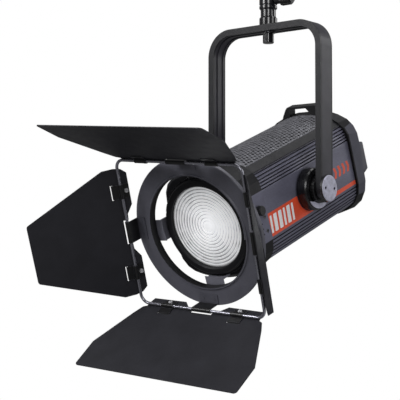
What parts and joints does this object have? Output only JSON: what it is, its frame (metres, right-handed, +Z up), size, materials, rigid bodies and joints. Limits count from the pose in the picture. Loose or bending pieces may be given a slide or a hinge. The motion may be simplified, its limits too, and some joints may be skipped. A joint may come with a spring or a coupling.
{
  "type": "fresnel spotlight",
  "caption": "Hanging LED fresnel spotlight with a yoke on a spigot, a finned tilting head, a stepped lens, a turning ring with folding barn doors, and rear controls.",
  "frame": {"origin": "on the spigot axis, at the foot of the smooth hanging pin", "axes": "+Z up the pin, -Y the way the lens faces, +X along the tilt axis"},
  "size_m": [0.427, 0.5763, 0.6373],
  "materials": {
    "spigot_black": "black lacquered steel, glossy",
    "yoke_paint": "dark grey powder coat",
    "panel_paint": "slate grey anodised aluminium extrusion",
    "casting_paint": "black powder coat on die-cast aluminium",
    "grille_paint": "black perforated sheet",
    "ring_paint": "slate grey powder coat",
    "leaf_paint": "matt black heat-resistant paint",
    "rod_steel": "grey coated steel rod",
    "clip_black": "black spring steel",
    "cap_grey": "light grey satin paint",
    "hub_black": "black glass-filled nylon",
    "knob_black": "black grip plastic",
    "console_plastic": "dark grey moulded plastic",
    "socket_black": "black socket plastic",
    "lens_glass": "clear pressed glass",
    "gasket": "black silicone",
    "bare_steel": "ground steel",
    "dark_steel": "blackened steel screws",
    "brass": "turned brass",
    "aluminium": "machined aluminium",
    "led_ceramic": "phosphor on a white ceramic board",
    "white_plastic": "white heat-resistant plastic",
    "fan_plastic": "black fan plastic",
    "board_green": "green circuit board",
    "component_dark": "dark component bodies",
    "display": "dark display window",
    "rocker_red": "red rocker",
    "button_grey": "grey rubber keys"
  },
  "bodies": {
    "hanger": {"hanging_spigot": "spigot_black", "spigot_nut": "spigot_black", "spigot_washer": "dark_steel"},
    "spigot_lock": {"spigot_lock_knob": "knob_black"},
    "spigot_shoe": {"spigot_clamp_shoe": "brass"},
    "yoke": {"yoke": "yoke_paint", "pivot_cap": "cap_grey"},
    "tilt_lock": {"tilt_lock_knob": "knob_black"},
    "head": {"side_panel_left": "panel_paint", "side_panel_right": "panel_paint", "top_grille": "grille_paint", "bottom_grille": "grille_paint", "front_casting": "casting_paint", "rear_casting": "casting_paint", "carry_handle": "knob_black", "control_box": "console_plastic", "display_window": "display", "control_board": "board_green", "power_inlet": "socket_black", "data_sockets": "socket_black", "fresnel_lens": "lens_glass", "lens_gasket": "gasket", "lens_bezel": "casting_paint", "ring_ears": "ring_paint", "latch_lugs": "dark_steel", "hub_dishes": "hub_black", "hub_washers": "cap_grey", "hub_drums": "hub_black", "pivot_shafts": "bare_steel", "guide_rails": "bare_steel", "rear_bulkhead": "aluminium", "power_module": "aluminium", "power_parts": "component_dark", "casting_screws": "dark_steel"},
    "thumb_screw": {"thumb_screw": "knob_black"},
    "ring_latch": {"ring_latch": "dark_steel"},
    "barndoors": {"barndoor_ring": "ring_paint", "door_rods": "rod_steel", "door_brackets": "clip_black", "door_rivets": "dark_steel"},
    "carriage": {"carriage_plate": "aluminium", "led_array": "led_ceramic", "led_clamp": "white_plastic", "heat_sink": "aluminium", "fan_frame": "fan_plastic"},
    "fan_rotor": {"fan_rotor": "fan_plastic"},
    "focus": {"focus_screw": "bare_steel", "focus_knob": "knob_black"},
    "dimmer": {"dimmer_knob": "knob_black"},
    "power_rocker": {"power_rocker": "rocker_red"},
    "menu_button_1": {"menu_button_1": "button_grey"},
    "menu_button_2": {"menu_button_2": "button_grey"},
    "leaf_top": {"leaf_top": "leaf_paint", "leaf_clips_top": "clip_black"},
    "leaf_bottom": {"leaf_bottom": "leaf_paint", "leaf_clips_bottom": "clip_black"},
    "leaf_left": {"leaf_left": "leaf_paint", "leaf_clips_left": "clip_black"},
    "leaf_right": {"leaf_right": "leaf_paint", "leaf_clips_right": "clip_black"}
  },
  "joints": [
    {"name": "pan", "type": "hinge", "parent": "hanger", "child": "yoke", "pos_m": [0, 0, -0.048], "axis": [0, 0, 1], "continuous": true},
    {"name": "spigot_lock_turn", "type": "hinge", "parent": "hanger", "child": "spigot_lock", "pos_m": [0.03, 0, -0.008], "axis": [-1, 0, 0], "range_deg": [0, 540]},
    {"name": "spigot_shoe_slide", "type": "slide", "parent": "hanger", "child": "spigot_shoe", "axis": [-1, 0, 0], "range_m": [0, 0.0019]},
    {"name": "tilt", "type": "hinge", "parent": "yoke", "child": "head", "pos_m": [0, 0, -0.3117], "axis": [1, 0, 0], "range_deg": [-66, 68.9]},
    {"name": "tilt_lock_turn", "type": "hinge", "parent": "yoke", "child": "tilt_lock", "pos_m": [-0.12, 0, -0.3117], "axis": [1, 0, 0], "range_deg": [-270, 0]},
    {"name": "thumb_screw_turn", "type": "hinge", "parent": "head", "child": "thumb_screw", "pos_m": [0.08, -0.13343, -0.34925], "axis": [-1, 0, 0], "range_deg": [-360, 0]},
    {"name": "latch_lift", "type": "hinge", "parent": "head", "child": "ring_latch", "pos_m": [0, -0.1886, -0.28961], "axis": [-1, 0, 0], "range_deg": [0, 60], "stiffness_Nm_per_rad": 0.08, "springref_deg": -22.92},
    {"name": "barndoor_turn", "type": "hinge", "parent": "head", "child": "barndoors", "pos_m": [0, -0.17353, -0.37866], "axis": [0, 0.933, 0.36], "continuous": true},
    {"name": "leaf_top_fold", "type": "hinge", "parent": "barndoors", "child": "leaf_top", "pos_m": [0.00964, -0.23949, -0.28106], "axis": [-0.9965, -0.0301, 0.0781], "range_deg": [-91, 74]},
    {"name": "leaf_bottom_fold", "type": "hinge", "parent": "barndoors", "child": "leaf_bottom", "pos_m": [-0.00964, -0.15683, -0.49526], "axis": [0.9965, 0.0301, -0.0781], "range_deg": [-63, 92]},
    {"name": "leaf_left_fold", "type": "hinge", "parent": "barndoors", "child": "leaf_left", "pos_m": [-0.1148, -0.20163, -0.37917], "axis": [-0.0837, 0.3587, -0.9297], "range_deg": [-121, 74]},
    {"name": "leaf_right_fold", "type": "hinge", "parent": "barndoors", "child": "leaf_right", "pos_m": [0.1148, -0.19469, -0.39716], "axis": [0.0837, -0.3587, 0.9297], "range_deg": [-115.3, 69.7]},
    {"name": "focus_turn", "type": "hinge", "parent": "head", "child": "focus", "pos_m": [0, 0.17912, -0.30368], "axis": [0, 0.933, 0.36], "range_deg": [-1340, 1340]},
    {"name": "carriage_slide", "type": "slide", "parent": "head", "child": "carriage", "axis": [0, 0.933, 0.36], "range_m": [-0.0295, 0.0295]},
    {"name": "fan_spin", "type": "hinge", "parent": "carriage", "child": "fan_rotor", "pos_m": [0, -0.02871, -0.32063], "axis": [0, 0.933, 0.36], "continuous": true},
    {"name": "dimmer_turn", "type": "hinge", "parent": "head", "child": "dimmer", "pos_m": [0.006, 0.17368, -0.2479], "axis": [0, -0.933, -0.36], "continuous": true},
    {"name": "power_rock", "type": "hinge", "parent": "head", "child": "power_rocker", "pos_m": [0.046, 0.16994, -0.24934], "axis": [0, -0.36, 0.933], "range_deg": [0, 14]},
    {"name": "menu_press_1", "type": "slide", "parent": "head", "child": "menu_button_1", "axis": [0, -0.933, -0.36], "range_m": [0, 0.0015], "stiffness_N_per_m": 400, "springref_m": -0.001},
    {"name": "menu_press_2", "type": "slide", "parent": "head", "child": "menu_button_2", "axis": [0, -0.933, -0.36], "range_m": [0, 0.0015], "stiffness_N_per_m": 400, "springref_m": -0.001}
  ],
  "couplings": [
    {"joint": "spigot_shoe_slide", "follows": "spigot_lock_turn", "m_per_rad": 0.00019894},
    {"joint": "focus_turn", "follows": "carriage_slide", "rad_per_m": 785.4}
  ]
}
